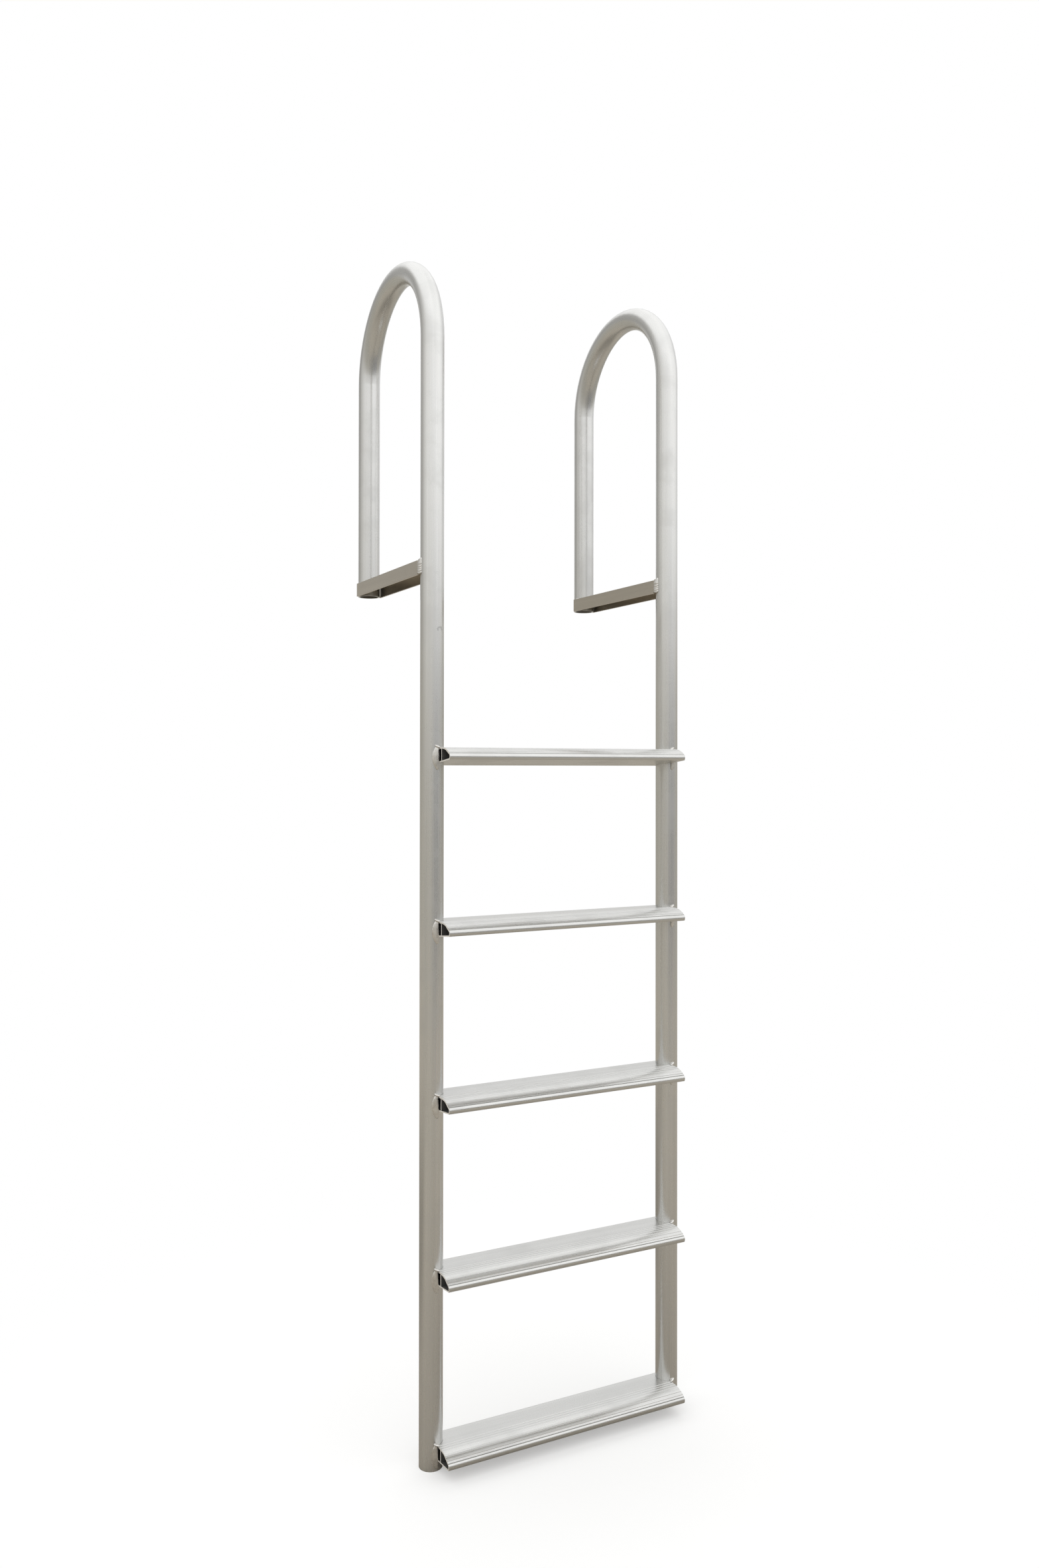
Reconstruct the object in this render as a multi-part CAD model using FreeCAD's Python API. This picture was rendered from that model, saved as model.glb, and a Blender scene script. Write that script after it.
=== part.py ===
import FreeCAD, Part
import math
import os

from FreeCAD import Vector

# Aluminium dock ladder with two hooped rails and five hollow treads, in millimetres.
# Z = 0 is the dock's surface, X = 0 and Y = 0 the axis of the left return leg, which stands on it.
# The treads run along +X and their noses point along -Y, to the water.

# Rails: each is one round tube, bent through a half turn over the dock's edge
overall_width = 539.75
hoop_depth = 361.95
hoop_height = 603.25
tube_diameter = 42.2
tube_wall = 3.2

# Treads: one extrusion, cut and coped between the rails
tread_count = 5
tread_spacing = 304.8
stile_foot_below_tread = 44.5
tread_depth = 88.9
tread_thickness = 31.75
tread_back_inset = 1.1
tread_end_from_axis = 4.3
tread_wall = 2.2
tread_front_curve = 50.0
tread_curve_depth = 32.9
tread_web_behind_curve = 3.0
tread_corner = 1.5
nose_radius = 8.5
nose_centre_below_top = 16.2
groove_width = 1.3
groove_depth = 1.2
groove_lip = 1.0
rib_count = 7
rib_pitch = 6.6
rib_crest = 3.4
rib_height = 0.5
rib_flank = 0.4

# Angles on the rounded nose and the hollow behind it, in degrees: 0 is up and 90 the tip
nose_top_angle = 50.0
nose_tip_angle = 90.0
nose_under_angle = 128.0
hollow_top_angle = 65.0
hollow_under_angle = 120.0

# Mounting bars: channels that lie open side down on the dock
bar_end_from_axis = 7.5
bar_past_leg_axis = 0.5
bar_width = 50.8
bar_height = 25.4
bar_wall = 3.2
bar_corner = 2.0
bolt_hole_diameter = 11.1
bolt_hole_spacing = 101.6

# Welds: a leg is how far a bead reaches along a piece, a bulge how far it stands proud
weld_gap = 0.25
tread_weld_leg = 4.0
tread_weld_reach = 8.0
tread_weld_end = 1.0
tread_weld_over = 3.8
tread_weld_under = 8.0
tread_weld_bulge = 1.0
back_weld_leg = 5.0
back_weld_bulge = 1.8
bar_weld_leg = 4.0
bar_weld_bulge = 0.5
side_weld_bulge = 1.5
side_weld_lift = 1.6
leg_weld_leg = 3.0

# Where the beads beside a bar end on the stile, in degrees from its widest line
bar_weld_end_angle = 4.0
side_weld_toe_angle = -6.0

# Sizes that follow from those above
tube_radius = tube_diameter / 2
rail_spacing = overall_width - tube_diameter
bend_radius = (hoop_depth - tube_diameter) / 2
stile_y = -2 * bend_radius
bend_z = hoop_height - tube_radius - bend_radius
stile_foot_z = -tread_count * tread_spacing - stile_foot_below_tread
cope_radius = tube_radius + weld_gap
tread_length = rail_spacing - 2 * tread_end_from_axis
tread_back_from_axis = tube_radius - tread_back_inset
tread_nose_from_axis = tread_depth - tread_back_from_axis
tread_flat_front = tread_nose_from_axis - tread_curve_depth
tread_web_from_axis = tread_flat_front - tread_web_behind_curve
flat_run = tread_back_from_axis + tread_flat_front
bar_length = 2 * bend_radius - bar_end_from_axis + bar_past_leg_axis
bar_front_y = stile_y + bar_end_from_axis
cope_end_angle = math.degrees(math.asin(bar_end_from_axis / cope_radius))

UP = Vector(0, 0, 1)


def write(name, shape):
    shape.exportStep("parts/" + name + ".step")


def line(start, end):
    return Part.LineSegment(start, end).toShape()


def arc(start, middle, end):
    return Part.Arc(start, middle, end).toShape()


def tube_section(centre):
    outer = Part.Face(Part.Wire(Part.makeCircle(tube_radius, centre)))
    inner = Part.Face(Part.Wire(Part.makeCircle(tube_radius - tube_wall, centre)))
    return outer.cut(inner)


def rail(x):
    """Stile, half-turn bend and return leg of one tube."""
    stile_top = tube_section(Vector(x, stile_y, bend_z))
    leg_top = tube_section(Vector(x, 0, bend_z))
    stile = stile_top.extrude(Vector(0, 0, stile_foot_z - bend_z))
    leg = leg_top.extrude(Vector(0, 0, -bend_z))
    bend_centre = Vector(x, -bend_radius, bend_z)
    bend = stile_top.revolve(bend_centre, Vector(-1, 0, 0), 180)
    return stile.fuse([bend, leg]).removeSplitter().Solids[0]


def coping_tool(x, y):
    """Cylinder that copes what meets the rail's tube at this place."""
    return Part.makeCylinder(cope_radius, hoop_height - stile_foot_z, Vector(x, y, stile_foot_z), UP)


def section_point(y, z):
    """Point of the tread's section: y from the stile's axis, z from the tread's top."""
    return Vector(0, y, z)


def top_point(run, depth):
    """Point below the tread's top, at a run from its back corner along the surface."""
    if run <= flat_run:
        return section_point(tread_back_from_axis - run, -depth)
    angle = (run - flat_run) / tread_front_curve
    arm = tread_front_curve - depth
    y = -tread_flat_front - arm * math.sin(angle)
    return section_point(y, arm * math.cos(angle) - tread_front_curve)


def nose_centre():
    return section_point(nose_radius - tread_nose_from_axis, -nose_centre_below_top)


def nose_point(angle, radius):
    turn = math.radians(angle)
    centre = nose_centre()
    return section_point(centre.y - radius * math.sin(turn), centre.z + radius * math.cos(turn))


def top_run():
    """Length of the top's surface from its back corner to the groove behind the nose."""
    reach = -nose_point(nose_top_angle, nose_radius).y - groove_width - tread_flat_front
    return flat_run + tread_front_curve * math.asin(reach / tread_front_curve)


def groove_floor():
    return top_point(top_run(), groove_depth)


def ribbed_top():
    """Points of the top from its plain back part over the ribs to the groove behind the nose."""
    full_run = top_run()
    valley = rib_pitch - rib_crest
    points = [top_point(tread_corner, 0)]
    for ribs_in_front in range(rib_count - 1, -1, -1):
        next_crest = full_run - groove_lip - ribs_in_front * rib_pitch
        crest_end = next_crest - valley
        points.append(top_point(crest_end, 0))
        points.append(top_point(crest_end + rib_flank, rib_height))
        points.append(top_point(next_crest - rib_flank, rib_height))
        points.append(top_point(next_crest, 0))
    points.append(top_point(full_run, 0))
    points.append(groove_floor())
    return points


def tread_outline():
    """Outer face of the tread's section."""
    start = nose_point(nose_top_angle, nose_radius)
    tip = nose_point(nose_tip_angle, nose_radius)
    under = nose_point(nose_under_angle, nose_radius)
    back_bottom = section_point(tread_back_from_axis - tread_corner, -tread_thickness)
    back_low = section_point(tread_back_from_axis, tread_corner - tread_thickness)
    back_high = section_point(tread_back_from_axis, -tread_corner)
    inset = tread_corner * (1 - math.sqrt(0.5))
    low_middle = section_point(tread_back_from_axis - inset, inset - tread_thickness)
    high_middle = section_point(tread_back_from_axis - inset, -inset)
    top = ribbed_top()
    edges = [line(a, b) for a, b in zip(top, top[1:])]
    edges.append(line(top[-1], start))
    edges.append(arc(start, tip, under))
    edges.append(line(under, back_bottom))
    edges.append(arc(back_bottom, low_middle, back_low))
    edges.append(line(back_low, back_high))
    edges.append(arc(back_high, high_middle, top[0]))
    return Part.Face(Part.Wire(edges))


def floor_point(y):
    """Point of the hollows' floor, one wall above the sloping underside."""
    low = nose_point(nose_under_angle, nose_radius)
    back = tread_back_from_axis - tread_corner
    share = (y - low.y) / (back - low.y)
    underside = low.z + share * (-tread_thickness - low.z)
    return section_point(y, underside + tread_wall)


def back_hollow():
    """Hollow between the web and the back wall."""
    front = -tread_web_from_axis + tread_wall / 2
    back = tread_back_from_axis - tread_wall
    roof = -rib_height - tread_wall
    corners = [section_point(front, roof), section_point(back, roof), floor_point(back), floor_point(front)]
    return Part.Face(Part.makePolygon(corners + corners[:1]))


def front_hollow():
    """Hollow between the web and the nose, under the curved front of the top."""
    back = -tread_web_from_axis - tread_wall / 2
    roof = rib_height + tread_wall
    inner = nose_radius - tread_wall
    curve_run = (top_run() - flat_run) / 2
    roof_back = section_point(back, -roof)
    roof_bend = top_point(flat_run, roof)
    roof_middle = top_point(flat_run + curve_run / 2, roof)
    roof_front = top_point(flat_run + curve_run, roof)
    under_groove = groove_floor() - Vector(0, 0, tread_wall)
    nose_high = nose_point(hollow_top_angle, inner)
    nose_tip = nose_point(nose_tip_angle, inner)
    nose_low = nose_point(hollow_under_angle, inner)
    edges = [
        line(roof_back, roof_bend),
        arc(roof_bend, roof_middle, roof_front),
        line(roof_front, under_groove),
        line(under_groove, nose_high),
        arc(nose_high, nose_tip, nose_low),
        line(nose_low, floor_point(back)),
        line(floor_point(back), roof_back),
    ]
    return Part.Face(Part.Wire(edges))


def tread(top_z):
    """Hollow ribbed extrusion, square cut in front of the stiles and coped round them."""
    section = tread_outline().cut([back_hollow(), front_hollow()])
    section.translate(Vector(tread_end_from_axis, stile_y, top_z))
    plank = section.extrude(Vector(tread_length, 0, 0))
    return plank.cut([coping_tool(0, stile_y), coping_tool(rail_spacing, stile_y)]).Solids[0]


def cope_point(x, y, angle):
    """Point just off a tube's surface; 0 radians is +X and a quarter turn is +Y."""
    return Vector(x + cope_radius * math.cos(angle), y + cope_radius * math.sin(angle), 0)


def bulged_arc(start, end, root, bulge):
    """Arc between a bead's two toes, standing proud of the line that joins them."""
    middle = (start + end) / 2
    outward = (middle - root).normalize()
    return arc(start, middle + outward * bulge, end)


def plan_bead(x, y, root_angle, toe_angle, other_toe, bulge, low, high):
    """Upright bead from a toe on the tube to a toe on the piece beside it, round their corner."""
    root = cope_point(x, y, root_angle)
    toe = cope_point(x, y, toe_angle)
    seat = arc(toe, cope_point(x, y, (root_angle + toe_angle) / 2), root)
    edges = [bulged_arc(other_toe, toe, root, bulge), seat, line(root, other_toe)]
    face = Part.Face(Part.Wire(edges))
    face.translate(Vector(0, 0, low))
    return face.extrude(Vector(0, 0, high - low))


def front_weld(x, side, top_z):
    """Bead from the stile's front to the tread's cut end, rounded away from the tread."""
    low = top_z - tread_thickness - tread_weld_under
    high = top_z + tread_weld_over
    end_x = x + side * tread_end_from_axis
    root_angle = -math.acos(side * tread_end_from_axis / cope_radius)
    toe_angle = -math.acos(-side * tread_weld_reach / cope_radius)
    tread_toe = cope_point(x, stile_y, root_angle) - Vector(0, tread_weld_leg, 0)
    bead = plan_bead(x, stile_y, root_angle, toe_angle, tread_toe, tread_weld_bulge, low, high)
    back_y = stile_y - tube_radius / 2
    top = Vector(x + side * tread_weld_end, back_y, high)
    middle = Vector(x - side * tread_weld_reach, back_y, (low + high) / 2)
    bottom = Vector(x + side * tread_weld_end, back_y, low)
    end_top = Vector(end_x, back_y, high)
    end_bottom = Vector(end_x, back_y, low)
    rounded = arc(top, middle, bottom)
    straight = [line(bottom, end_bottom), line(end_bottom, end_top), line(end_top, top)]
    outline = Part.Face(Part.Wire([rounded] + straight)).extrude(Vector(0, -tube_diameter, 0))
    return bead.common(outline).Solids[0]


def back_weld(x, side, top_z):
    """Bead over the seam between the stile's back and the tread's back wall."""
    low = top_z - tread_thickness + tread_corner
    high = top_z - tread_corner
    root_angle = math.acos(side * math.cos(math.asin(tread_back_from_axis / cope_radius)))
    toe_angle = root_angle + side * back_weld_leg / cope_radius
    tread_toe = cope_point(x, stile_y, root_angle) + Vector(side * back_weld_leg, 0, 0)
    return plan_bead(x, stile_y, root_angle, toe_angle, tread_toe, back_weld_bulge, low, high)


def tread_weld(x, side, top_z):
    return Part.makeCompound([front_weld(x, side, top_z), back_weld(x, side, top_z)])


def channel_section(y):
    """Section of the mounting bar, open side down, centred on X = 0."""
    half = bar_width / 2
    inner = half - bar_wall
    roof = bar_height - bar_wall
    inset = bar_corner * (1 - math.sqrt(0.5))
    outside = [(-inner, 0), (-half, 0), (-half, bar_height), (half, bar_height), (half, 0), (inner, 0)]
    edges = [line(Vector(x1, y, z1), Vector(x2, y, z2)) for (x1, z1), (x2, z2) in zip(outside, outside[1:])]
    right_low = Vector(inner, y, roof - bar_corner)
    right_high = Vector(inner - bar_corner, y, roof)
    left_high = Vector(bar_corner - inner, y, roof)
    left_low = Vector(-inner, y, roof - bar_corner)
    edges.append(line(Vector(inner, y, 0), right_low))
    edges.append(arc(right_low, Vector(inner - inset, y, roof - inset), right_high))
    edges.append(line(right_high, left_high))
    edges.append(arc(left_high, Vector(inset - inner, y, roof - inset), left_low))
    edges.append(line(left_low, Vector(-inner, y, 0)))
    return Part.Face(Part.Wire(edges))


def mounting_bar(x):
    """Channel coped between the stile and the return leg, with two bolt holes in its web."""
    section = channel_section(bar_front_y)
    section.translate(Vector(x, 0, 0))
    bar = section.extrude(Vector(0, bar_length, 0))
    cuts = [coping_tool(x, stile_y), coping_tool(x, 0)]
    for offset in (-bolt_hole_spacing / 2, bolt_hole_spacing / 2):
        place = Vector(x, offset - bend_radius, 0)
        cuts.append(Part.makeCylinder(bolt_hole_diameter / 2, 2 * bar_height, place, UP))
    return bar.cut(cuts).Solids[0]


def ring_bead(x, y, leg, start_angle, sweep):
    """Fillet bead on the bar's web round a tube; angles in degrees, 0 is +X and 90 is +Y."""
    turn = math.radians(start_angle)
    outward = Vector(math.cos(turn), math.sin(turn), 0)
    root = Vector(x, y, bar_height) + outward * cope_radius
    web_toe = root + outward * leg
    tube_toe = root + UP * leg
    edges = [line(tube_toe, root), line(root, web_toe), bulged_arc(web_toe, tube_toe, root, bar_weld_bulge)]
    return Part.Face(Part.Wire(edges)).revolve(Vector(x, y, 0), UP, sweep)


def side_bead(x, side):
    """Upright bead from a wall's end to the side of the stile."""
    if side > 0:
        root_angle = math.radians(cope_end_angle)
        toe_angle = math.radians(side_weld_toe_angle)
    else:
        root_angle = math.radians(180 - cope_end_angle)
        toe_angle = math.radians(180 - side_weld_toe_angle)
    wall_toe = Vector(x + side * bar_width / 2, bar_front_y, 0)
    low = side_weld_lift
    return plan_bead(x, stile_y, root_angle, toe_angle, wall_toe, side_weld_bulge, low, bar_height)


def bar_stile_weld(x):
    """Bead over the web's coped end and down both walls' ends."""
    over = ring_bead(x, stile_y, bar_weld_leg, bar_weld_end_angle, 180 - 2 * bar_weld_end_angle)
    return over.fuse([side_bead(x, -1), side_bead(x, 1)]).Solids[0]


def bar_leg_weld(x):
    """Bead on the web round the return leg."""
    return ring_bead(x, 0, leg_weld_leg, 180, 180)


os.makedirs("parts", exist_ok=True)
for side_name, rail_x, side in (("left", 0, 1), ("right", rail_spacing, -1)):
    write(side_name + "_rail", rail(rail_x))
    write(side_name + "_mounting_bar", mounting_bar(rail_x))
    write(side_name + "_bar_stile_weld", bar_stile_weld(rail_x))
    write(side_name + "_bar_leg_weld", bar_leg_weld(rail_x))
    for number in range(1, tread_count + 1):
        weld = tread_weld(rail_x, side, -number * tread_spacing)
        write("tread_" + str(number) + "_" + side_name + "_weld", weld)
for number in range(1, tread_count + 1):
    write("tread_" + str(number), tread(-number * tread_spacing))
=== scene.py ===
import math

import bpy
from mathutils import Matrix, Vector


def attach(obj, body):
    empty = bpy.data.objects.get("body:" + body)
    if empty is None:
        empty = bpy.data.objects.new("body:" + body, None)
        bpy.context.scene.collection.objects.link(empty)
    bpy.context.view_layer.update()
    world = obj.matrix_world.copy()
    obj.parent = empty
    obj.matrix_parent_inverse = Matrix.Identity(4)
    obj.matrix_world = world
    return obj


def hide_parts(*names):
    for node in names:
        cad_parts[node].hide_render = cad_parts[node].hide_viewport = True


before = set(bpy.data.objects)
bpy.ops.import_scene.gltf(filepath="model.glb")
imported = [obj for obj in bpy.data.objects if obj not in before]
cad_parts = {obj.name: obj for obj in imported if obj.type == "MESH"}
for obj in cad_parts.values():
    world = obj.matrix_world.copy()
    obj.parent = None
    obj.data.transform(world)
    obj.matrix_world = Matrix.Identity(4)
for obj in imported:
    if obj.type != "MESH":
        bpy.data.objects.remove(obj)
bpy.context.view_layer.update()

MM = 0.001

# Real sizes of the ladder in millimetres, a tread's from its top and from the stile's axis
STILE_LINE = -319.75
TREADS = 5
TREAD_SPACING = 304.8
TREAD_THICKNESS = 31.75
TREAD_BACK = 20.0
TREAD_FLAT_FRONT = 36.0
TREAD_CURVE = 50.0
CUT_END = 4.3
BAR_HEIGHT = 25.4
BAR_WALL = 3.2
WALL_END = Vector((25.4, 7.5))

# Real sizes of the ladder in metres
TUBE_RADIUS = 21.1 * MM
RAIL_SPACING = 497.55 * MM
STILE_Y = STILE_LINE * MM
BEND_RADIUS = -STILE_Y / 2
BEND_HEIGHT = 422.275 * MM
GROUND = -1568.5 * MM
LADDER_FOOT = (RAIL_SPACING / 2, STILE_Y, GROUND)

# Pads in front of the stiles, in millimetres from the tread's top and the stile's axis
PAD_REACH = 8.0
PAD_END = 1.0
PAD_OVER = 3.8
PAD_UNDER = 39.75
PAD_LEG = 4.0
PAD_LEG_TAPER = 0.4
PAD_CROWN = 1.3
PAD_THICK = 1.9
PAD_RIPPLES = 22
PAD_RIPPLE_LONG = 3.2

# Drop at the top of a pad, on the tread's edge: place, size, and its turn, tilt and lean in radians
DROP_PLACE = (1.7, -22.3, 1.5)
DROP_REACH = (5.9, 2.9, 2.0)
DROP_TURNS = (-0.33, 0.35, 0.42)

# Beads behind the stiles, in millimetres
BACK_BEAD_LEG = 5.0
BACK_INSET = 4.5
BACK_CROWN = 1.8
BACK_THICK = 2.4
BACK_RIPPLES = 9
BACK_RIPPLE_LONG = 3.2

# Beads up the ends of a bar's walls, in millimetres; the crowns are for its left and its right side
SIDE_TOE_TURN = math.radians(-6)
SIDE_CROWNS = {-1: 1.6, 1: 0.4}
SIDE_RIPPLES = 4
SIDE_START = 5.4
SIDE_RIPPLE_PITCH = 3.8
SIDE_RIPPLE_LONG = 5.2
SIDE_THICK = 2.2
SIDE_TOP_THICK = 2.4

# Smooth top of those beads: share of the way from tube to wall, rise and half height of each ripple
SIDE_TOP = ((1.0, 19.6, 6.0), (0.9, 21.8, 5.0), (0.72, 24.0, 4.4), (0.5, 25.8, 4.0))

# Rings of ripples on a bar's top round the stile and the leg: radius, degrees spanned, number and size
RING_RADIUS = 21.3
RING_SPAN = (14, 160)
RING_RIPPLES = 15
RING_REACH = (3.8, 4.4, 3.8)
LEG_SPAN = (198, 342)
LEG_RIPPLES = 15
LEG_REACH = (2.9, 3.9, 2.5)

# Tilt of ripples in radians, and how they vary: millimetres of change, and radians from one to the next
RIPPLE_TILT = -0.4
PAD_UNEVEN = (0.08, 2.4)
BACK_UNEVEN = (0.1, 1.9)
SIDE_UNEVEN = (0.1, 2.7)
RING_UNEVEN = (0.15, 2.1)

# Depth that a bead melts into the metal, size of its finest form, and the edge that still looks smooth
MELT = 0.2 * MM
BEAD_VOXEL = 0.42 * MM
SMOOTH_EDGE = math.radians(50)

# How far the cutters reach past a tread's beads, in millimetres
CORE_BELOW = 80
CORE_ABOVE = 40
CUTTER_ALONG = 30
CUTTER_AHEAD = 40
CUTTER_ABOVE = 5

# Heights in millimetres of the core that takes a bar's beads out of the tube
BAR_CORE = (-20, 60)

# Channel's inside and its whole as cutters: from and to behind the stile's axis, foot, and step at the top
CHANNEL_INSIDE = (5.5, 40, -5)
CHANNEL_WHOLE = (WALL_END.y, 42, -7)
CHANNEL_STEP = 0.01

# Cutter below the leg's bead: its low corner, and its high corner in plan
LEG_CUTTER = ((-40, -60, -5), (40, 40))

# Colours of the metal, and the roughness of its satin and its mill finish
TUBE_TINT = "#DBDBD9"
TREAD_TINT = "#D4D4D2"
BAR_TINT = "#CBC4B8"
WELD_TINT = "#DBD9D5"
SATIN = 0.28
MILL_FINISH = 0.30

# Colour and roughness of sawn ends, of the tubes' bores and of the treads' hollows; the bores' grey is partly
# their dull skin and partly painted shade, and the hollows' dark grey is painted shade
SAWN = ("#F5F3EF", 0.8)
BORE = ("#8A857C", 0.5)
HOLLOW = ("#7C7B79", 0.7)

# How square to X a sawn face is at least, and the radius in metres at which a bore has begun
SQUARE_TO_X = 0.9
BORE_RADIUS = TUBE_RADIUS - 3 * MM

# Where a tread's hollow has begun, in millimetres from its curve's centre, its top and the stile's axis
HOLLOW_ROOF = TREAD_CURVE - 1.8
HOLLOW_FLOOR = 28.5
HOLLOW_SLOPE = 0.121
HOLLOW_BACK = TREAD_BACK - 1.0
HOLLOW_NOSE = -66.8

# Width and length of die lines and streaks, in metres; real lines are 0.2 mm and these coarser ones show
DIE_LINE = (1.2 * MM, 400 * MM)
STREAK = (9 * MM, 700 * MM)

# Sizes of the skin's grain, of marks from handling and of small scuffs far apart, in metres
SKIN_GRAIN = 0.6 * MM
HANDLED = 60 * MM
SCUFF = (9 * MM, 9 * MM, 5 * MM)

# Sizes of a weld's grain and of its brighter and duller patches, in metres
WELD_GRAIN = 0.8 * MM
WELD_PATCH = 6 * MM

# How a noise shows: its low and high end, then the tone or the roughness at each
NOISE_SPAN = (0.3, 0.7)
STREAK_TONE = (*NOISE_SPAN, 0.95, 1.03)
HANDLED_TONE = (0.45, 0.75, 1.0, 0.94)
HANDLED_ROUGHNESS = (0.5, 0.8, 0.0, 0.10)
SCUFF_TONE = (0.73, 0.80, 1.0, 0.90)
WELD_TONE = (*NOISE_SPAN, 0.88, 1.05)
WELD_ROUGHNESS = (*NOISE_SPAN, 0.24, 0.38)
LINE_ROUGHNESS = 0.03

# Strength and depth in metres of the relief, and the grain's part in it beside the die lines
SKIN_RELIEF = (0.25, 0.02 * MM)
WELD_RELIEF = (0.3, 0.05 * MM)
GRAIN_RELIEF = 0.35

# Share of the stile's brightness that the return leg keeps, as painted shade
LEG_SHADE = 0.93

# Hooked smudge on the left stile, in metres: centre of its bend, radius, half width and unevenness
HOOK_CENTRE = Vector((9.5, -336.4, -95.5)) * MM
HOOK_BEND = 4.8 * MM
HOOK_CORE = 0.2 * MM
HOOK_EDGE = 2.6 * MM
HOOK_GRAIN = 3 * MM
HOOK_WANDER = 6 * MM
HOOK_SHADE = 0.72

# Camera of the photograph: sensor height, focal length, framing shift, place and turn
SENSOR = 36.0
LENS = 27.93
SHIFT_Y = -0.0162
CAMERA_PLACE = Vector((-849.8, -2299.6, -338.2)) * MM
CAMERA_YAW = math.radians(27.349)
CAMERA_PITCH = math.radians(0.370)
CAMERA_ROLL = math.radians(0.070)
VIEW_AHEAD = Vector((math.sin(CAMERA_YAW), math.cos(CAMERA_YAW), 0))
VIEW_RIGHT = Vector((math.cos(CAMERA_YAW), -math.sin(CAMERA_YAW), 0))

# Studio walls, high and low: degrees turned right from the backdrop, brightness and warmth
WALLS = (
    (-180, 1.13, 0.0), (-133, 1.06, 0.004), (-92, 0.70, 0.012), (-55, 0.34, 0.02),
    (-22, 0.92, 0.0), (28, 0.94, 0.0), (50, 0.82, 0.0), (85, 1.20, 0.0),
    (125, 1.34, 0.0), (157, 1.20, 0.0), (180, 1.13, 0.0),
)
LOW_WALLS = (
    (-180, 0.41, 0.05), (-133, 0.46, 0.05), (-90, 0.46, 0.05), (-50, 0.45, 0.05), (50, 0.43, 0.05),
    (85, 0.43, 0.04), (108, 0.34, 0.01), (130, 0.29, 0.01), (157, 0.33, 0.02), (180, 0.41, 0.05),
)

# Blue that warm light loses for each share of red that it gains
BLUE_LOSS = 2.4

# Elevations in degrees between which low walls turn to high ones and those to the ceiling, and its brightness
SKIRTING = (3.5, 9.5)
CORNICE = (32.0, 50.0)
CEILING = 1.26

# Floor: its size in metres, the painted reflection that only metal mirrors of it, in warm greys near the
# ladder and far off, and the paint that is seen
FLOOR_SIZE = 9
REFLECTED_FLOOR_NEAR = "#A49D92"
REFLECTED_FLOOR_FAR = "#B4ADA1"
FLOOR_PAINT = "#FAFAF9"

# Two distances on the floor in metres, and the share at each: of white, of the far colour, and of brightness;
# the brightness puts painted shade into the floor's reflection to the left behind the ladder, within a few
# metres of it
WHITE_SHARE = (0.15, 1.3, 0.35, 1.0)
FAR_SHARE = (0.3, 2.0, 0.0, 1.0)
LEFT_PAINTED_SHADE = (-0.5, 0.0, 0.66, 1.0)
OUTER_PAINTED_SHADE = (1.5, 2.7, 0.6, 1.0)

# Sockets of a Mix node: its share, its two colours, its two plain values, and the colour that it gives
MIX_SHARE = 0
FROM_COLOUR = 6
TO_COLOUR = 7
FROM_VALUE = 2
TO_VALUE = 3
MIXED_COLOUR = 2


def colour(written):
    """Linear colour of an sRGB hex value."""
    channels = []
    for start in (1, 3, 5):
        share = int(written[start:start + 2], 16) / 255
        channels.append(share / 12.92 if share <= 0.04045 else ((share + 0.055) / 1.055) ** 2.4)
    return (*channels, 1.0)


def add_node(tree, kind, inputs=(), **settings):
    """Adds one node; its inputs, in order or by socket, are values or the nodes or outputs that feed them."""
    made = tree.nodes.new(kind)
    for name, value in settings.items():
        setattr(made, name, value)
    by_socket = inputs if isinstance(inputs, dict) else dict(enumerate(inputs))
    for socket, value in by_socket.items():
        feed = value.outputs[0] if isinstance(value, bpy.types.Node) else value
        if isinstance(feed, bpy.types.NodeSocket):
            tree.links.new(feed, made.inputs[socket])
        else:
            made.inputs[socket].default_value = feed
    return made


def new_material(name):
    """Empty node material with its output."""
    material = bpy.data.materials.new(name)
    material.use_nodes = True
    material.node_tree.nodes.clear()
    add_node(material.node_tree, "ShaderNodeOutputMaterial", name="Output")
    return material


def lay_metal(tree, tint, rough, height, relief):
    """Bare metal with its tint, roughness and relief."""
    strength, depth = relief
    bump = add_node(tree, "ShaderNodeBump", {"Height": height, "Strength": strength, "Distance": depth})
    looks = {"Base Color": tint, "Metallic": 1.0, "Roughness": rough, "Normal": bump}
    metal = add_node(tree, "ShaderNodeBsdfPrincipled", looks)
    tree.links.new(metal.outputs[0], tree.nodes["Output"].inputs[0])


def marks(tree, place, sizes, detail):
    """Noise whose marks are as large as three sizes say, in metres along X, Y and Z."""
    scale = [1 / size for size in sizes]
    scaled = add_node(tree, "ShaderNodeVectorMath", (place, scale), operation="MULTIPLY")
    return add_node(tree, "ShaderNodeTexNoise", {"Vector": scaled, "Scale": 1.0, "Detail": detail})


def long_marks(tree, place, axis, mark, detail):
    """Noise whose marks have one width, and run the length of the piece along one axis."""
    width, length = mark
    sizes = [width] * 3
    sizes[axis] = length
    return marks(tree, place, sizes, detail)


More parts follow.
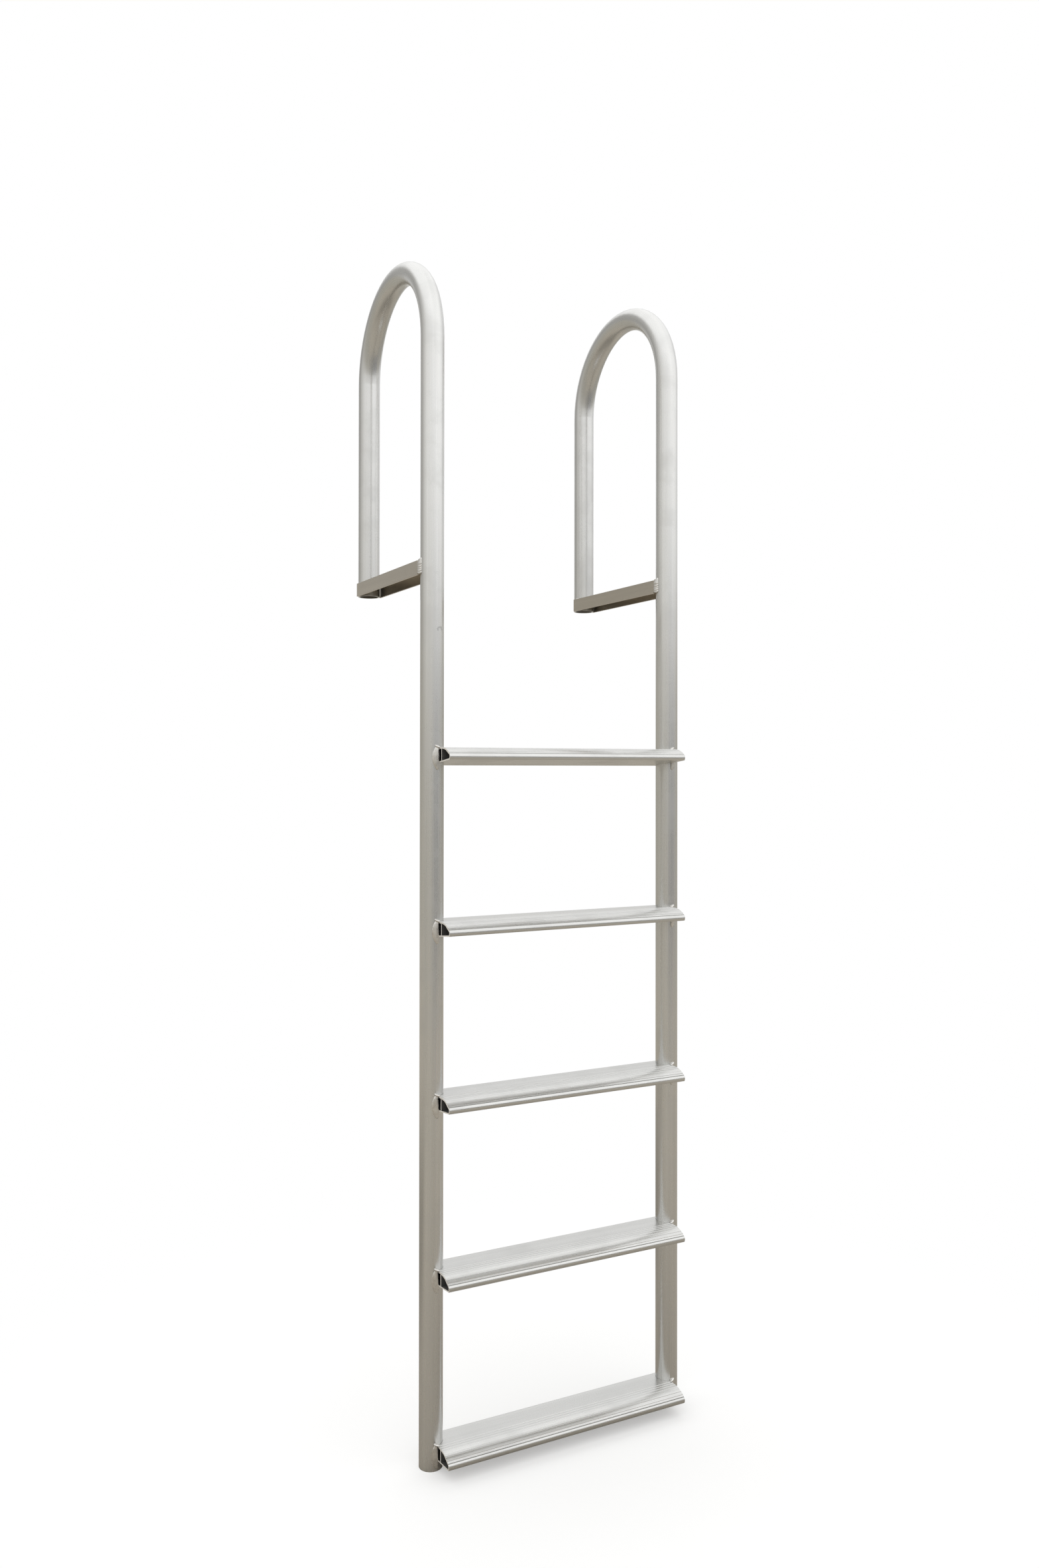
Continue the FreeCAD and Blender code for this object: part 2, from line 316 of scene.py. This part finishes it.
def tube_run(tree, point):
    """Place across and along a bent tube, the same round the half-turn as on its straight legs."""
    parts = add_node(tree, "ShaderNodeSeparateXYZ", (point,)).outputs
    half = RAIL_SPACING / 2
    from_middle = add_node(tree, "ShaderNodeMath", (parts[0], half), operation="SUBTRACT")
    one_side = add_node(tree, "ShaderNodeMath", (from_middle,), operation="ABSOLUTE")
    across = add_node(tree, "ShaderNodeMath", (one_side, half), operation="SUBTRACT")
    back = add_node(tree, "ShaderNodeMath", (parts[1], BEND_RADIUS), operation="ADD")
    over = add_node(tree, "ShaderNodeMath", (parts[2], BEND_HEIGHT), operation="SUBTRACT")
    up = add_node(tree, "ShaderNodeMath", (over, 0.0), operation="MAXIMUM")
    arm = add_node(tree, "ShaderNodeCombineXYZ", (back, up))
    reach = add_node(tree, "ShaderNodeVectorMath", (arm,), operation="LENGTH").outputs["Value"]
    outward = add_node(tree, "ShaderNodeMath", (reach, BEND_RADIUS), operation="SUBTRACT")
    turn = add_node(tree, "ShaderNodeMath", (up, back), operation="ARCTAN2")
    low = add_node(tree, "ShaderNodeMath", (over, 0.0), operation="MINIMUM")
    along = add_node(tree, "ShaderNodeMath", (turn, BEND_RADIUS, low), operation="MULTIPLY_ADD")
    return add_node(tree, "ShaderNodeCombineXYZ", (across, outward, along))


def change_finish(tree, share, skin, finish):
    """Turns a skin's tint and roughness to another finish where the share is 1."""
    tint, rough = skin
    written, roughness = finish
    colours = {MIX_SHARE: share, FROM_COLOUR: tint, TO_COLOUR: colour(written)}
    tinted = add_node(tree, "ShaderNodeMix", colours, data_type="RGBA")
    roughened = add_node(tree, "ShaderNodeMix", {MIX_SHARE: share, FROM_VALUE: rough, TO_VALUE: roughness})
    return tinted.outputs[MIXED_COLOUR], roughened


def sawn_end(tree, skin):
    """Paler and rougher where a saw cut the piece square across its length, along X."""
    facing = add_node(tree, "ShaderNodeTexCoord").outputs["Normal"]
    across = add_node(tree, "ShaderNodeSeparateXYZ", (facing,)).outputs[0]
    either = add_node(tree, "ShaderNodeMath", (across,), operation="ABSOLUTE")
    sawn = add_node(tree, "ShaderNodeMath", (either, SQUARE_TO_X), operation="GREATER_THAN")
    return change_finish(tree, sawn, skin, SAWN)


def tube_bore_painted_shade(tree, run, skin):
    """Dull grey inside the tube: partly its skin, never brightened, and partly painted shade in the bore."""
    flat = add_node(tree, "ShaderNodeVectorMath", (run, (1, 1, 0)), operation="MULTIPLY")
    radius = add_node(tree, "ShaderNodeVectorMath", (flat,), operation="LENGTH").outputs["Value"]
    inside = add_node(tree, "ShaderNodeMath", (radius, BORE_RADIUS), operation="LESS_THAN")
    return change_finish(tree, inside, skin, BORE)


def hooked_smudge(tree, place, tint):
    """One dark smudge bent over like a hook, on the left stile a little below its bar."""
    noise = add_node(tree, "ShaderNodeTexNoise", {"Vector": place, "Scale": 1 / HOOK_GRAIN, "Detail": 3.0})
    wander = (noise.outputs["Color"], [HOOK_WANDER] * 3, place)
    uneven_place = add_node(tree, "ShaderNodeVectorMath", wander, operation="MULTIPLY_ADD")
    reach = add_node(tree, "ShaderNodeVectorMath", (uneven_place, HOOK_CENTRE), operation="DISTANCE")
    off = add_node(tree, "ShaderNodeMath", (reach.outputs["Value"], HOOK_BEND), operation="SUBTRACT")
    beside = add_node(tree, "ShaderNodeMath", (off,), operation="ABSOLUTE")
    height = add_node(tree, "ShaderNodeSeparateXYZ", (uneven_place,)).outputs[2]
    below = add_node(tree, "ShaderNodeMath", (HOOK_CENTRE.z, height), operation="SUBTRACT")
    past = add_node(tree, "ShaderNodeMath", (beside, below), operation="MAXIMUM")
    edge = (past, HOOK_CORE, HOOK_EDGE, HOOK_SHADE, 1.0)
    shade = add_node(tree, "ShaderNodeMapRange", edge, interpolation_type="SMOOTHSTEP")
    return add_node(tree, "ShaderNodeVectorMath", {0: tint, "Scale": shade}, operation="SCALE")


def tread_hollow_painted_shade(tree, place, skin):
    """Rougher inside the hollow tread, at least a millimetre in from every outer face, and darker there with
    painted shade.
    """
    parts = add_node(tree, "ShaderNodeSeparateXYZ", (place,)).outputs
    back = add_node(tree, "ShaderNodeMath", (parts[1], STILE_Y), operation="SUBTRACT")
    under = add_node(tree, "ShaderNodeMath", (parts[2], -1.0), operation="MULTIPLY")
    depth = add_node(tree, "ShaderNodeMath", (under, TREAD_SPACING * MM, 0.0), operation="WRAP")
    past_flat = add_node(tree, "ShaderNodeMath", (back, TREAD_FLAT_FRONT * MM), operation="ADD")
    curved = add_node(tree, "ShaderNodeMath", (past_flat, 0.0), operation="MINIMUM")
    up = add_node(tree, "ShaderNodeMath", (depth, TREAD_CURVE * MM), operation="SUBTRACT")
    arm = add_node(tree, "ShaderNodeCombineXYZ", (curved, up))
    roof = add_node(tree, "ShaderNodeVectorMath", (arm,), operation="LENGTH").outputs["Value"]
    floor = add_node(tree, "ShaderNodeMath", (back, -HOLLOW_SLOPE, depth), operation="MULTIPLY_ADD")
    limits = (
        (roof, "LESS_THAN", HOLLOW_ROOF),
        (floor, "LESS_THAN", HOLLOW_FLOOR),
        (back, "LESS_THAN", HOLLOW_BACK),
        (back, "GREATER_THAN", HOLLOW_NOSE),
    )
    inside = 1.0
    for measure, kept, limit in limits:
        within = add_node(tree, "ShaderNodeMath", (measure, limit * MM), operation=kept)
        inside = add_node(tree, "ShaderNodeMath", (within, inside), operation="MULTIPLY")
    return change_finish(tree, inside, skin, HOLLOW)


def leg_painted_shade(tree, place, tint):
    """A little darker from the stile to the return leg, as painted shade."""
    back = add_node(tree, "ShaderNodeSeparateXYZ", (place,)).outputs[1]
    share = add_node(tree, "ShaderNodeMapRange", (back, STILE_Y, 0.0, 1.0, LEG_SHADE))
    return add_node(tree, "ShaderNodeVectorMath", {0: tint, "Scale": share}, operation="SCALE")


def drawn_aluminium(name, written, axis, roughness, on_tube=False, sawn=False):
    """Drawn or extruded aluminium with a satin skin: fine die lines run its length and draw out its gleam."""
    material = new_material(name)
    tree = material.node_tree
    place = add_node(tree, "ShaderNodeTexCoord").outputs["Object"]
    run = tube_run(tree, place) if on_tube else place

    lines = long_marks(tree, run, axis, DIE_LINE, 3.0)
    streaks = long_marks(tree, run, axis, STREAK, 2.0)
    handling = {"Vector": place, "Scale": 1 / HANDLED, "Detail": 5.0, "Roughness": 0.6}
    handled = add_node(tree, "ShaderNodeTexNoise", handling)
    grain = add_node(tree, "ShaderNodeTexNoise", {"Vector": place, "Scale": 1 / SKIN_GRAIN, "Detail": 2.0})
    scuffs = marks(tree, place, SCUFF, 2.0)

    scuffed = add_node(tree, "ShaderNodeMapRange", (scuffs, *SCUFF_TONE))
    shade = add_node(tree, "ShaderNodeMapRange", (streaks, *STREAK_TONE))
    dull = add_node(tree, "ShaderNodeMapRange", (handled, *HANDLED_TONE))
    marked = add_node(tree, "ShaderNodeMath", (dull, scuffed), operation="MULTIPLY")
    tone = add_node(tree, "ShaderNodeMath", (shade, marked), operation="MULTIPLY")
    tint = add_node(tree, "ShaderNodeVectorMath", {0: colour(written)[:3], "Scale": tone}, operation="SCALE")

    spread = (*NOISE_SPAN, roughness - LINE_ROUGHNESS, roughness + LINE_ROUGHNESS)
    rough_lines = add_node(tree, "ShaderNodeMapRange", (lines, *spread))
    rough_handled = add_node(tree, "ShaderNodeMapRange", (handled, *HANDLED_ROUGHNESS))
    rough = add_node(tree, "ShaderNodeMath", (rough_lines, rough_handled), operation="ADD")

    # Painted shade darkens the treads' hollows; sawn ends get a paler, rougher finish
    if sawn:
        tint, rough = sawn_end(tree, tread_hollow_painted_shade(tree, place, (tint, rough)))
    if on_tube:
        # Painted shade towards the return leg, and one hooked smudge
        tint = hooked_smudge(tree, place, leg_painted_shade(tree, place, tint))
        # Painted shade inside the bore, over its duller skin
        tint, rough = tube_bore_painted_shade(tree, run, (tint, rough))
    height = add_node(tree, "ShaderNodeMath", (grain, GRAIN_RELIEF, lines), operation="MULTIPLY_ADD")
    lay_metal(tree, tint, rough, height, SKIN_RELIEF)
    return material


def weld_metal():
    """Bright bead of an aluminium weld, left as it froze, with patches that gleam more and less."""
    material = new_material("weld_bead_aluminium")
    tree = material.node_tree
    place = add_node(tree, "ShaderNodeTexCoord").outputs["Object"]
    grain = add_node(tree, "ShaderNodeTexNoise", {"Vector": place, "Scale": 1 / WELD_GRAIN, "Detail": 3.0})
    patches = add_node(tree, "ShaderNodeTexNoise", {"Vector": place, "Scale": 1 / WELD_PATCH, "Detail": 3.0})
    tone = add_node(tree, "ShaderNodeMapRange", (patches, *WELD_TONE))
    toned = {0: colour(WELD_TINT)[:3], "Scale": tone}
    tint = add_node(tree, "ShaderNodeVectorMath", toned, operation="SCALE")
    rough = add_node(tree, "ShaderNodeMapRange", (patches, *WELD_ROUGHNESS))
    lay_metal(tree, tint, rough, grain, WELD_RELIEF)
    return material


def dress_nodes():
    """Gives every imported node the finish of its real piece, and lays the beads that replace its welds."""
    tube = drawn_aluminium("satin_drawn_aluminium_tube", TUBE_TINT, 2, SATIN, on_tube=True)
    tread = drawn_aluminium("satin_extruded_aluminium_tread", TREAD_TINT, 0, SATIN, sawn=True)
    bar = drawn_aluminium("mill_finish_aluminium_channel", BAR_TINT, 1, MILL_FINISH)
    bead = weld_metal()
    lay_beads(bead)
    for name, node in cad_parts.items():
        if name.endswith("weld"):
            finish = bead
        elif name.endswith("rail"):
            finish = tube
        elif name.endswith("bar"):
            finish = bar
        else:
            finish = tread
        node.data.materials.clear()
        node.data.materials.append(finish)


def pick_only(piece):
    """Leaves one object selected and active."""
    bpy.ops.object.select_all(action="DESELECT")
    piece.select_set(True)
    bpy.context.view_layer.objects.active = piece


def join(pieces):
    """Makes one object of several, which keeps the first one's name."""
    pick_only(pieces[0])
    for piece in pieces:
        piece.select_set(True)
    bpy.ops.object.join()
    return bpy.context.active_object


def uneven(change, index, start=0):
    """Small change from one ripple to the next, as a steady hand leaves it."""
    amount, step = change
    return amount * math.sin(step * index + start)


def add_ripple(centre, reach, turn, tilt, lean=0.0):
    """One frozen ripple of a weld: a flattened drop at its place, turned to the seam and tilted along it."""
    bpy.ops.object.select_all(action="DESELECT")
    bpy.ops.mesh.primitive_uv_sphere_add(
        segments=32, ring_count=20, radius=MM, location=centre * MM, rotation=(tilt, lean, turn), scale=reach
    )
    return bpy.context.active_object


def add_pad(toe, heel, rise, crown, thick, long, tilt=0.0):
    """Ripple across a corner, in plan from toe to heel with the metal on its left, crowned over that line."""
    across = heel - toe
    inward = Vector((-across.y, across.x)).normalized()
    outer = math.hypot(thick * math.cos(tilt), long * math.sin(tilt))
    sunk = outer - crown
    reach = across.length / 2 / math.sqrt(1 - (sunk / outer) ** 2)
    middle = (toe + heel) / 2 + inward * sunk
    place = Vector((middle.x, middle.y, rise))
    return add_ripple(place, (reach, thick, long), math.atan2(across.y, across.x), tilt)


def shape_with(piece, kind, **settings):
    """Adds one modifier and applies it."""
    pick_only(piece)
    made = piece.modifiers.new(kind.title(), kind)
    for name, value in settings.items():
        setattr(made, name, value)
    bpy.ops.object.modifier_apply(modifier=made.name)


def fuse(name, ripples):
    """Melts a row of ripples into one skin."""
    bead = join(ripples)
    bead.name = name
    bpy.ops.object.transform_apply(location=True, rotation=True, scale=True)
    shape_with(bead, "REMESH", mode="VOXEL", voxel_size=BEAD_VOXEL, use_smooth_shade=True)
    shape_with(bead, "SMOOTH", factor=0.5, iterations=2)
    return bead


def seat(bead, cutter):
    """Takes away what would lie inside the metal that the bead is melted onto."""
    shape_with(bead, "BOOLEAN", operation="DIFFERENCE", object=cutter)
    bpy.data.objects.remove(cutter)


def tube_core(y, low, high):
    """Round bar as large as the left rail's tube at one place, less the depth that a bead melts in."""
    bpy.ops.object.select_all(action="DESELECT")
    bpy.ops.mesh.primitive_cylinder_add(
        vertices=96, radius=TUBE_RADIUS - MELT, depth=(high - low) * MM,
        location=(0, y * MM, (low + high) / 2 * MM)
    )
    return bpy.context.active_object


def block(low, high):
    """Plain block between two corners, in millimetres."""
    bpy.ops.object.select_all(action="DESELECT")
    middle = (Vector(low) + Vector(high)) / 2 * MM
    size = (Vector(high) - Vector(low)) * MM
    bpy.ops.mesh.primitive_cube_add(size=1, location=middle, scale=size)
    bpy.ops.object.transform_apply(location=True, rotation=True, scale=True)
    return bpy.context.active_object


def tube_skin(turn):
    """Point of the stile's skin in plan; 0 radians is +X and a quarter turn is +Y, away from the water."""
    return Vector((math.cos(turn), math.sin(turn))) * TUBE_RADIUS / MM + Vector((0, STILE_LINE))


def front_pad(top):
    """Broad flat pad from the stile's front to the tread's cut end, rounded away from the tread."""
    middle = top + (PAD_OVER - PAD_UNDER) / 2
    half = (PAD_OVER + PAD_UNDER) / 2
    sag = PAD_REACH + PAD_END
    sweep = (half ** 2 + sag ** 2) / (2 * sag)
    tube = TUBE_RADIUS / MM
    corner = tube_skin(-math.acos(CUT_END / tube))
    ripples = []
    for index in range(PAD_RIPPLES):
        share = 2 * index / (PAD_RIPPLES - 1) - 1
        rise = share * (half - PAD_RIPPLE_LONG)
        left = sweep - math.sqrt(sweep ** 2 - rise ** 2) - PAD_REACH + uneven(PAD_UNEVEN, index)
        toe = tube_skin(-math.acos(left / tube))
        heel = Vector((CUT_END, corner.y - PAD_LEG * (1 - PAD_LEG_TAPER * share ** 2)))
        ripples.append(add_pad(toe, heel, middle + rise, PAD_CROWN, PAD_THICK, PAD_RIPPLE_LONG))
    x, y, z = DROP_PLACE
    ripples.append(add_ripple(Vector((x, STILE_LINE + y, top + z)), DROP_REACH, *DROP_TURNS))
    pad = fuse("front_pad", ripples)
    tread_foot = (CUT_END + MELT / MM, STILE_LINE - CUTTER_AHEAD, top - TREAD_THICKNESS)
    seat(pad, block(tread_foot, (CUTTER_ALONG, STILE_LINE, top)))
    seat(pad, tube_core(STILE_LINE, top - CORE_BELOW, top + CORE_ABOVE))
    return pad


def rear_bead(top):
    """Narrow bead over the seam between the stile's back and the tread's back wall."""
    root = math.asin(TREAD_BACK * MM / TUBE_RADIUS)
    toe = Vector((math.cos(root) * TUBE_RADIUS / MM + BACK_BEAD_LEG, STILE_LINE + TREAD_BACK))
    heel = tube_skin(root + BACK_BEAD_LEG * MM / TUBE_RADIUS)
    ripples = []
    for index in range(BACK_RIPPLES):
        rise = top - BACK_INSET - index * (TREAD_THICKNESS - 2 * BACK_INSET) / (BACK_RIPPLES - 1)
        crown = BACK_CROWN + uneven(BACK_UNEVEN, index)
        ripples.append(add_pad(toe, heel, rise, crown, BACK_THICK, BACK_RIPPLE_LONG, RIPPLE_TILT))
    bead = fuse("rear_bead", ripples)
    seat(bead, tube_core(STILE_LINE, top - CORE_BELOW, top + CORE_ABOVE))
    wall_back = STILE_LINE + TREAD_BACK - MELT / MM
    seat(bead, block((0, STILE_LINE, top - CORE_BELOW), (CUTTER_ALONG, wall_back, top + CUTTER_ABOVE)))
    return bead


def tread_bead():
    """Both beads of the top tread's left end."""
    return join([front_pad(-TREAD_SPACING), rear_bead(-TREAD_SPACING)])


def side_ripples(side):
    """Ripples from one wall's end to the side of the stile, with a longer smooth one at the top."""
    wall = Vector((side * WALL_END.x, STILE_LINE + WALL_END.y))
    tube = tube_skin(SIDE_TOE_TURN if side > 0 else math.pi - SIDE_TOE_TURN)
    toe, heel = (tube, wall) if side > 0 else (wall, tube)
    crown = SIDE_CROWNS[side]
    ripples = []
    for index in range(SIDE_RIPPLES):
        rise = SIDE_START + index * SIDE_RIPPLE_PITCH
        crowned = crown + uneven(SIDE_UNEVEN, index, side)
        ripples.append(add_pad(toe, heel, rise, crowned, SIDE_THICK, SIDE_RIPPLE_LONG, RIPPLE_TILT))
    for share, rise, long in SIDE_TOP:
        narrow = tube.lerp(wall, share)
        toe, heel = (tube, narrow) if side > 0 else (narrow, tube)
        ripples.append(add_pad(toe, heel, rise, crown * share, SIDE_TOP_THICK, long))
    return ripples


def ring_ripples(y, span, count, reach):
    """Ripples on the bar's top round a tube, between two turns in degrees."""
    first, last = span
    out, along, up = reach
    ripples = []
    for index in range(count):
        turn = math.radians(first + index * (last - first) / (count - 1))
        place = Vector((RING_RADIUS * math.cos(turn), y + RING_RADIUS * math.sin(turn), BAR_HEIGHT))
        ripples.append(add_ripple(place, (out, along, up + uneven(RING_UNEVEN, index)), turn, 0))
    return ripples


def bar_stile_bead():
    """Bead of the left bar at the stile: over its top round the stile's back, and up its wall ends."""
    ring = (STILE_LINE, RING_SPAN, RING_RIPPLES, RING_REACH)
    bead = fuse("stile_bead", side_ripples(-1) + side_ripples(1) + ring_ripples(*ring))
    seat(bead, tube_core(STILE_LINE, *BAR_CORE))
    web = BAR_HEIGHT - MELT / MM
    cuts = (
        (WALL_END.x - BAR_WALL, CHANNEL_INSIDE, web),
        (WALL_END.x - MELT / MM, CHANNEL_WHOLE, web - CHANNEL_STEP),
    )
    for half, (first, last, foot), top in cuts:
        seat(bead, block((-half, STILE_LINE + first, foot), (half, STILE_LINE + last, top)))
    return bead


def bar_leg_bead():
    """Bead of the left bar round the return leg, on the channel's web."""
    bead = fuse("leg_bead", ring_ripples(0, LEG_SPAN, LEG_RIPPLES, LEG_REACH))
    seat(bead, tube_core(0, *BAR_CORE))
    low, high = LEG_CUTTER
    seat(bead, block(low, (*high, BAR_HEIGHT - MELT / MM)))
    return bead


def copy_piece(piece, name, place, mirrored=False):
    """Own copy of a piece at another place, mirrored across its own rail where asked."""
    pick_only(piece)
    bpy.ops.object.duplicate()
    made = bpy.context.active_object
    made.name = name
    made.location = place
    if mirrored:
        made.scale.x = -1
    bpy.ops.object.transform_apply(location=True, rotation=True, scale=True)
    if mirrored:
        bpy.ops.object.mode_set(mode="EDIT")
        bpy.ops.mesh.select_all(action="SELECT")
        bpy.ops.mesh.normals_make_consistent(inside=False)
        bpy.ops.object.mode_set(mode="OBJECT")
    return made


def finish_bead(piece, node, metal):
    """Hides the node that a bead stands for, and gives the bead its finish."""
    pick_only(piece)
    bpy.ops.object.shade_smooth_by_angle(angle=SMOOTH_EDGE)
    piece.data.materials.clear()
    piece.data.materials.append(metal)
    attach(piece, "root")
    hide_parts(node)


def lay_beads(metal):
    """Puts the modelled beads at every joint of the ladder."""
    at_tread = tread_bead()
    at_bar = {"bar_stile": bar_stile_bead(), "bar_leg": bar_leg_bead()}
    for side, rail_x in (("left", 0), ("right", RAIL_SPACING)):
        for index in range(TREADS):
            node = f"tread_{index + 1}_{side}_weld"
            place = (rail_x, 0, -index * TREAD_SPACING * MM)
            bead = copy_piece(at_tread, node.replace("weld", "bead"), place, side == "right")
            finish_bead(bead, node, metal)
        for joint, model in at_bar.items():
            bead = copy_piece(model, f"{side}_{joint}_bead", (rail_x, 0, 0))
            finish_bead(bead, f"{side}_{joint}_weld", metal)
    for model in (at_tread, *at_bar.values()):
        bpy.data.objects.remove(model)


def place_camera():
    """Camera at the photograph's place, turned as the photograph was taken."""
    data = bpy.data.cameras.new("camera")
    data.sensor_fit = "VERTICAL"
    data.sensor_height = SENSOR
    data.sensor_width = SENSOR
    data.lens = LENS
    data.shift_y = SHIFT_Y
    camera = bpy.data.objects.new("camera", data)
    bpy.context.scene.collection.objects.link(camera)
    ahead = VIEW_AHEAD * math.cos(CAMERA_PITCH) + Vector((0, 0, math.sin(CAMERA_PITCH)))
    level_up = VIEW_RIGHT.cross(ahead)
    right = VIEW_RIGHT * math.cos(CAMERA_ROLL) + level_up * math.sin(CAMERA_ROLL)
    up = right.cross(ahead)
    turn = Matrix((right, up, -ahead)).transposed()
    camera.matrix_world = Matrix.Translation(CAMERA_PLACE) @ turn.to_4x4()
    bpy.context.scene.camera = camera


def seen_directly(tree):
    """1 where the camera looks straight at a surface and 0 in reflections and bounced light."""
    return add_node(tree, "ShaderNodeLightPath").outputs["Is Camera Ray"]


def floor_paint():
    """White paint that fades into the backdrop; the metal mirrors it as a painted reflection of warm grey,
    with painted shade to the left behind the ladder.
    """
    material = new_material("pale_floor_paint")
    tree = material.node_tree
    place = add_node(tree, "ShaderNodeTexCoord").outputs["Object"]
    from_ladder = add_node(tree, "ShaderNodeVectorMath", (place, LADDER_FOOT), operation="DISTANCE")
    distance = from_ladder.outputs["Value"]
    fade = add_node(tree, "ShaderNodeMapRange", (distance, *WHITE_SHARE), interpolation_type="SMOOTHSTEP")
    # Painted reflection: warm greys that only metal sees in the floor, darker near the ladder
    away = add_node(tree, "ShaderNodeMapRange", (distance, *FAR_SHARE))
    reflected_greys = {MIX_SHARE: away, FROM_COLOUR: colour(REFLECTED_FLOOR_NEAR), TO_COLOUR: colour(REFLECTED_FLOOR_FAR)}
    mirrored = add_node(tree, "ShaderNodeMix", reflected_greys, data_type="RGBA").outputs[MIXED_COLOUR]
    # Painted shade in the floor's reflection, to the left behind the ladder and near it
    near_right = (VIEW_RIGHT - VIEW_AHEAD).normalized()
    aside = add_node(tree, "ShaderNodeVectorMath", (place, near_right), operation="DOT_PRODUCT")
    left = add_node(tree, "ShaderNodeMapRange", (aside.outputs["Value"], *LEFT_PAINTED_SHADE))
    near_painted_shade = add_node(tree, "ShaderNodeMapRange", (distance, *OUTER_PAINTED_SHADE))
    shade = add_node(tree, "ShaderNodeMath", (left, near_painted_shade), operation="MAXIMUM")
    shaded = add_node(tree, "ShaderNodeVectorMath", {0: mirrored, "Scale": shade}, operation="SCALE")
    direct = seen_directly(tree)
    paints = {MIX_SHARE: direct, FROM_COLOUR: shaded, TO_COLOUR: colour(FLOOR_PAINT)}
    paint = add_node(tree, "ShaderNodeMix", paints, data_type="RGBA").outputs[MIXED_COLOUR]
    matt = add_node(tree, "ShaderNodeBsdfDiffuse", {"Color": paint})
    white = add_node(tree, "ShaderNodeEmission", {"Color": (1, 1, 1, 1), "Strength": 1.0})
    far = add_node(tree, "ShaderNodeMath", (fade, direct), operation="MULTIPLY")
    ground = add_node(tree, "ShaderNodeMixShader", (far, matt, white))
    tree.links.new(ground.outputs[0], tree.nodes["Output"].inputs[0])
    return material


def lay_floor():
    """Plain floor under the ladder's foot."""
    bpy.ops.object.select_all(action="DESELECT")
    bpy.ops.mesh.primitive_plane_add(size=FLOOR_SIZE, location=(0, 0, GROUND))
    bpy.ops.object.transform_apply(location=True, rotation=True, scale=True)
    floor = bpy.context.active_object
    floor.name = "floor"
    floor.data.materials.append(floor_paint())


def light_room():
    """Soft room: white backdrop, pale walls and a bright ceiling, and warm grey low down."""
    world = bpy.data.worlds.new("room")
    bpy.context.scene.world = world
    world.use_nodes = True
    tree = world.node_tree
    tree.nodes.clear()
    way = add_node(tree, "ShaderNodeTexCoord").outputs["Generated"]
    ahead = add_node(tree, "ShaderNodeVectorMath", (way, VIEW_AHEAD), operation="DOT_PRODUCT")
    right = add_node(tree, "ShaderNodeVectorMath", (way, VIEW_RIGHT), operation="DOT_PRODUCT")
    sides = (right.outputs["Value"], ahead.outputs["Value"])
    turn = add_node(tree, "ShaderNodeMath", sides, operation="ARCTAN2")
    round_room = add_node(tree, "ShaderNodeMapRange", (turn, -math.pi, math.pi, 0.0, 1.0))

    height = add_node(tree, "ShaderNodeSeparateXYZ", (way,)).outputs[2]
    above_skirting = climb(tree, height, SKIRTING)
    above_walls = climb(tree, height, CORNICE)
    low_walls = wall_light(tree, round_room, LOW_WALLS)
    walls = wall_light(tree, round_room, WALLS)
    levels = {MIX_SHARE: above_skirting, FROM_COLOUR: low_walls, TO_COLOUR: walls}
    lower = add_node(tree, "ShaderNodeMix", levels, data_type="RGBA").outputs[MIXED_COLOUR]
    ceiling = {MIX_SHARE: above_walls, FROM_COLOUR: lower, TO_COLOUR: (CEILING, CEILING, CEILING, 1)}
    room = add_node(tree, "ShaderNodeMix", ceiling, data_type="RGBA").outputs[MIXED_COLOUR]
    backdrop = {MIX_SHARE: seen_directly(tree), FROM_COLOUR: room, TO_COLOUR: (1, 1, 1, 1)}
    shown = add_node(tree, "ShaderNodeMix", backdrop, data_type="RGBA").outputs[MIXED_COLOUR]
    light = add_node(tree, "ShaderNodeBackground", (shown, 1.0))
    out = add_node(tree, "ShaderNodeOutputWorld", (light,))
    out.is_active_output = True


def wall_light(tree, round_room, wall):
    """Light of a wall all the way round; warm light has more red and less blue."""
    made = add_node(tree, "ShaderNodeValToRGB", (round_room,))
    stops = made.color_ramp.elements
    while len(stops) < len(wall):
        stops.new(1.0)
    for stop, (turned, level, warm) in zip(stops, wall):
        stop.position = 0.5 + turned / 360
        stop.color = (level * (1 + warm), level, level * (1 - BLUE_LOSS * warm), 1.0)
    return made


def climb(tree, height, between):
    """Rises softly from 0 to 1 between two elevations, in degrees."""
    low, high = (math.sin(math.radians(degrees)) for degrees in between)
    rise = (height, low, high, 0.0, 1.0)
    return add_node(tree, "ShaderNodeMapRange", rise, interpolation_type="SMOOTHSTEP")


bpy.context.scene.view_settings.view_transform = "Standard"
place_camera()
dress_nodes()
lay_floor()
light_room()
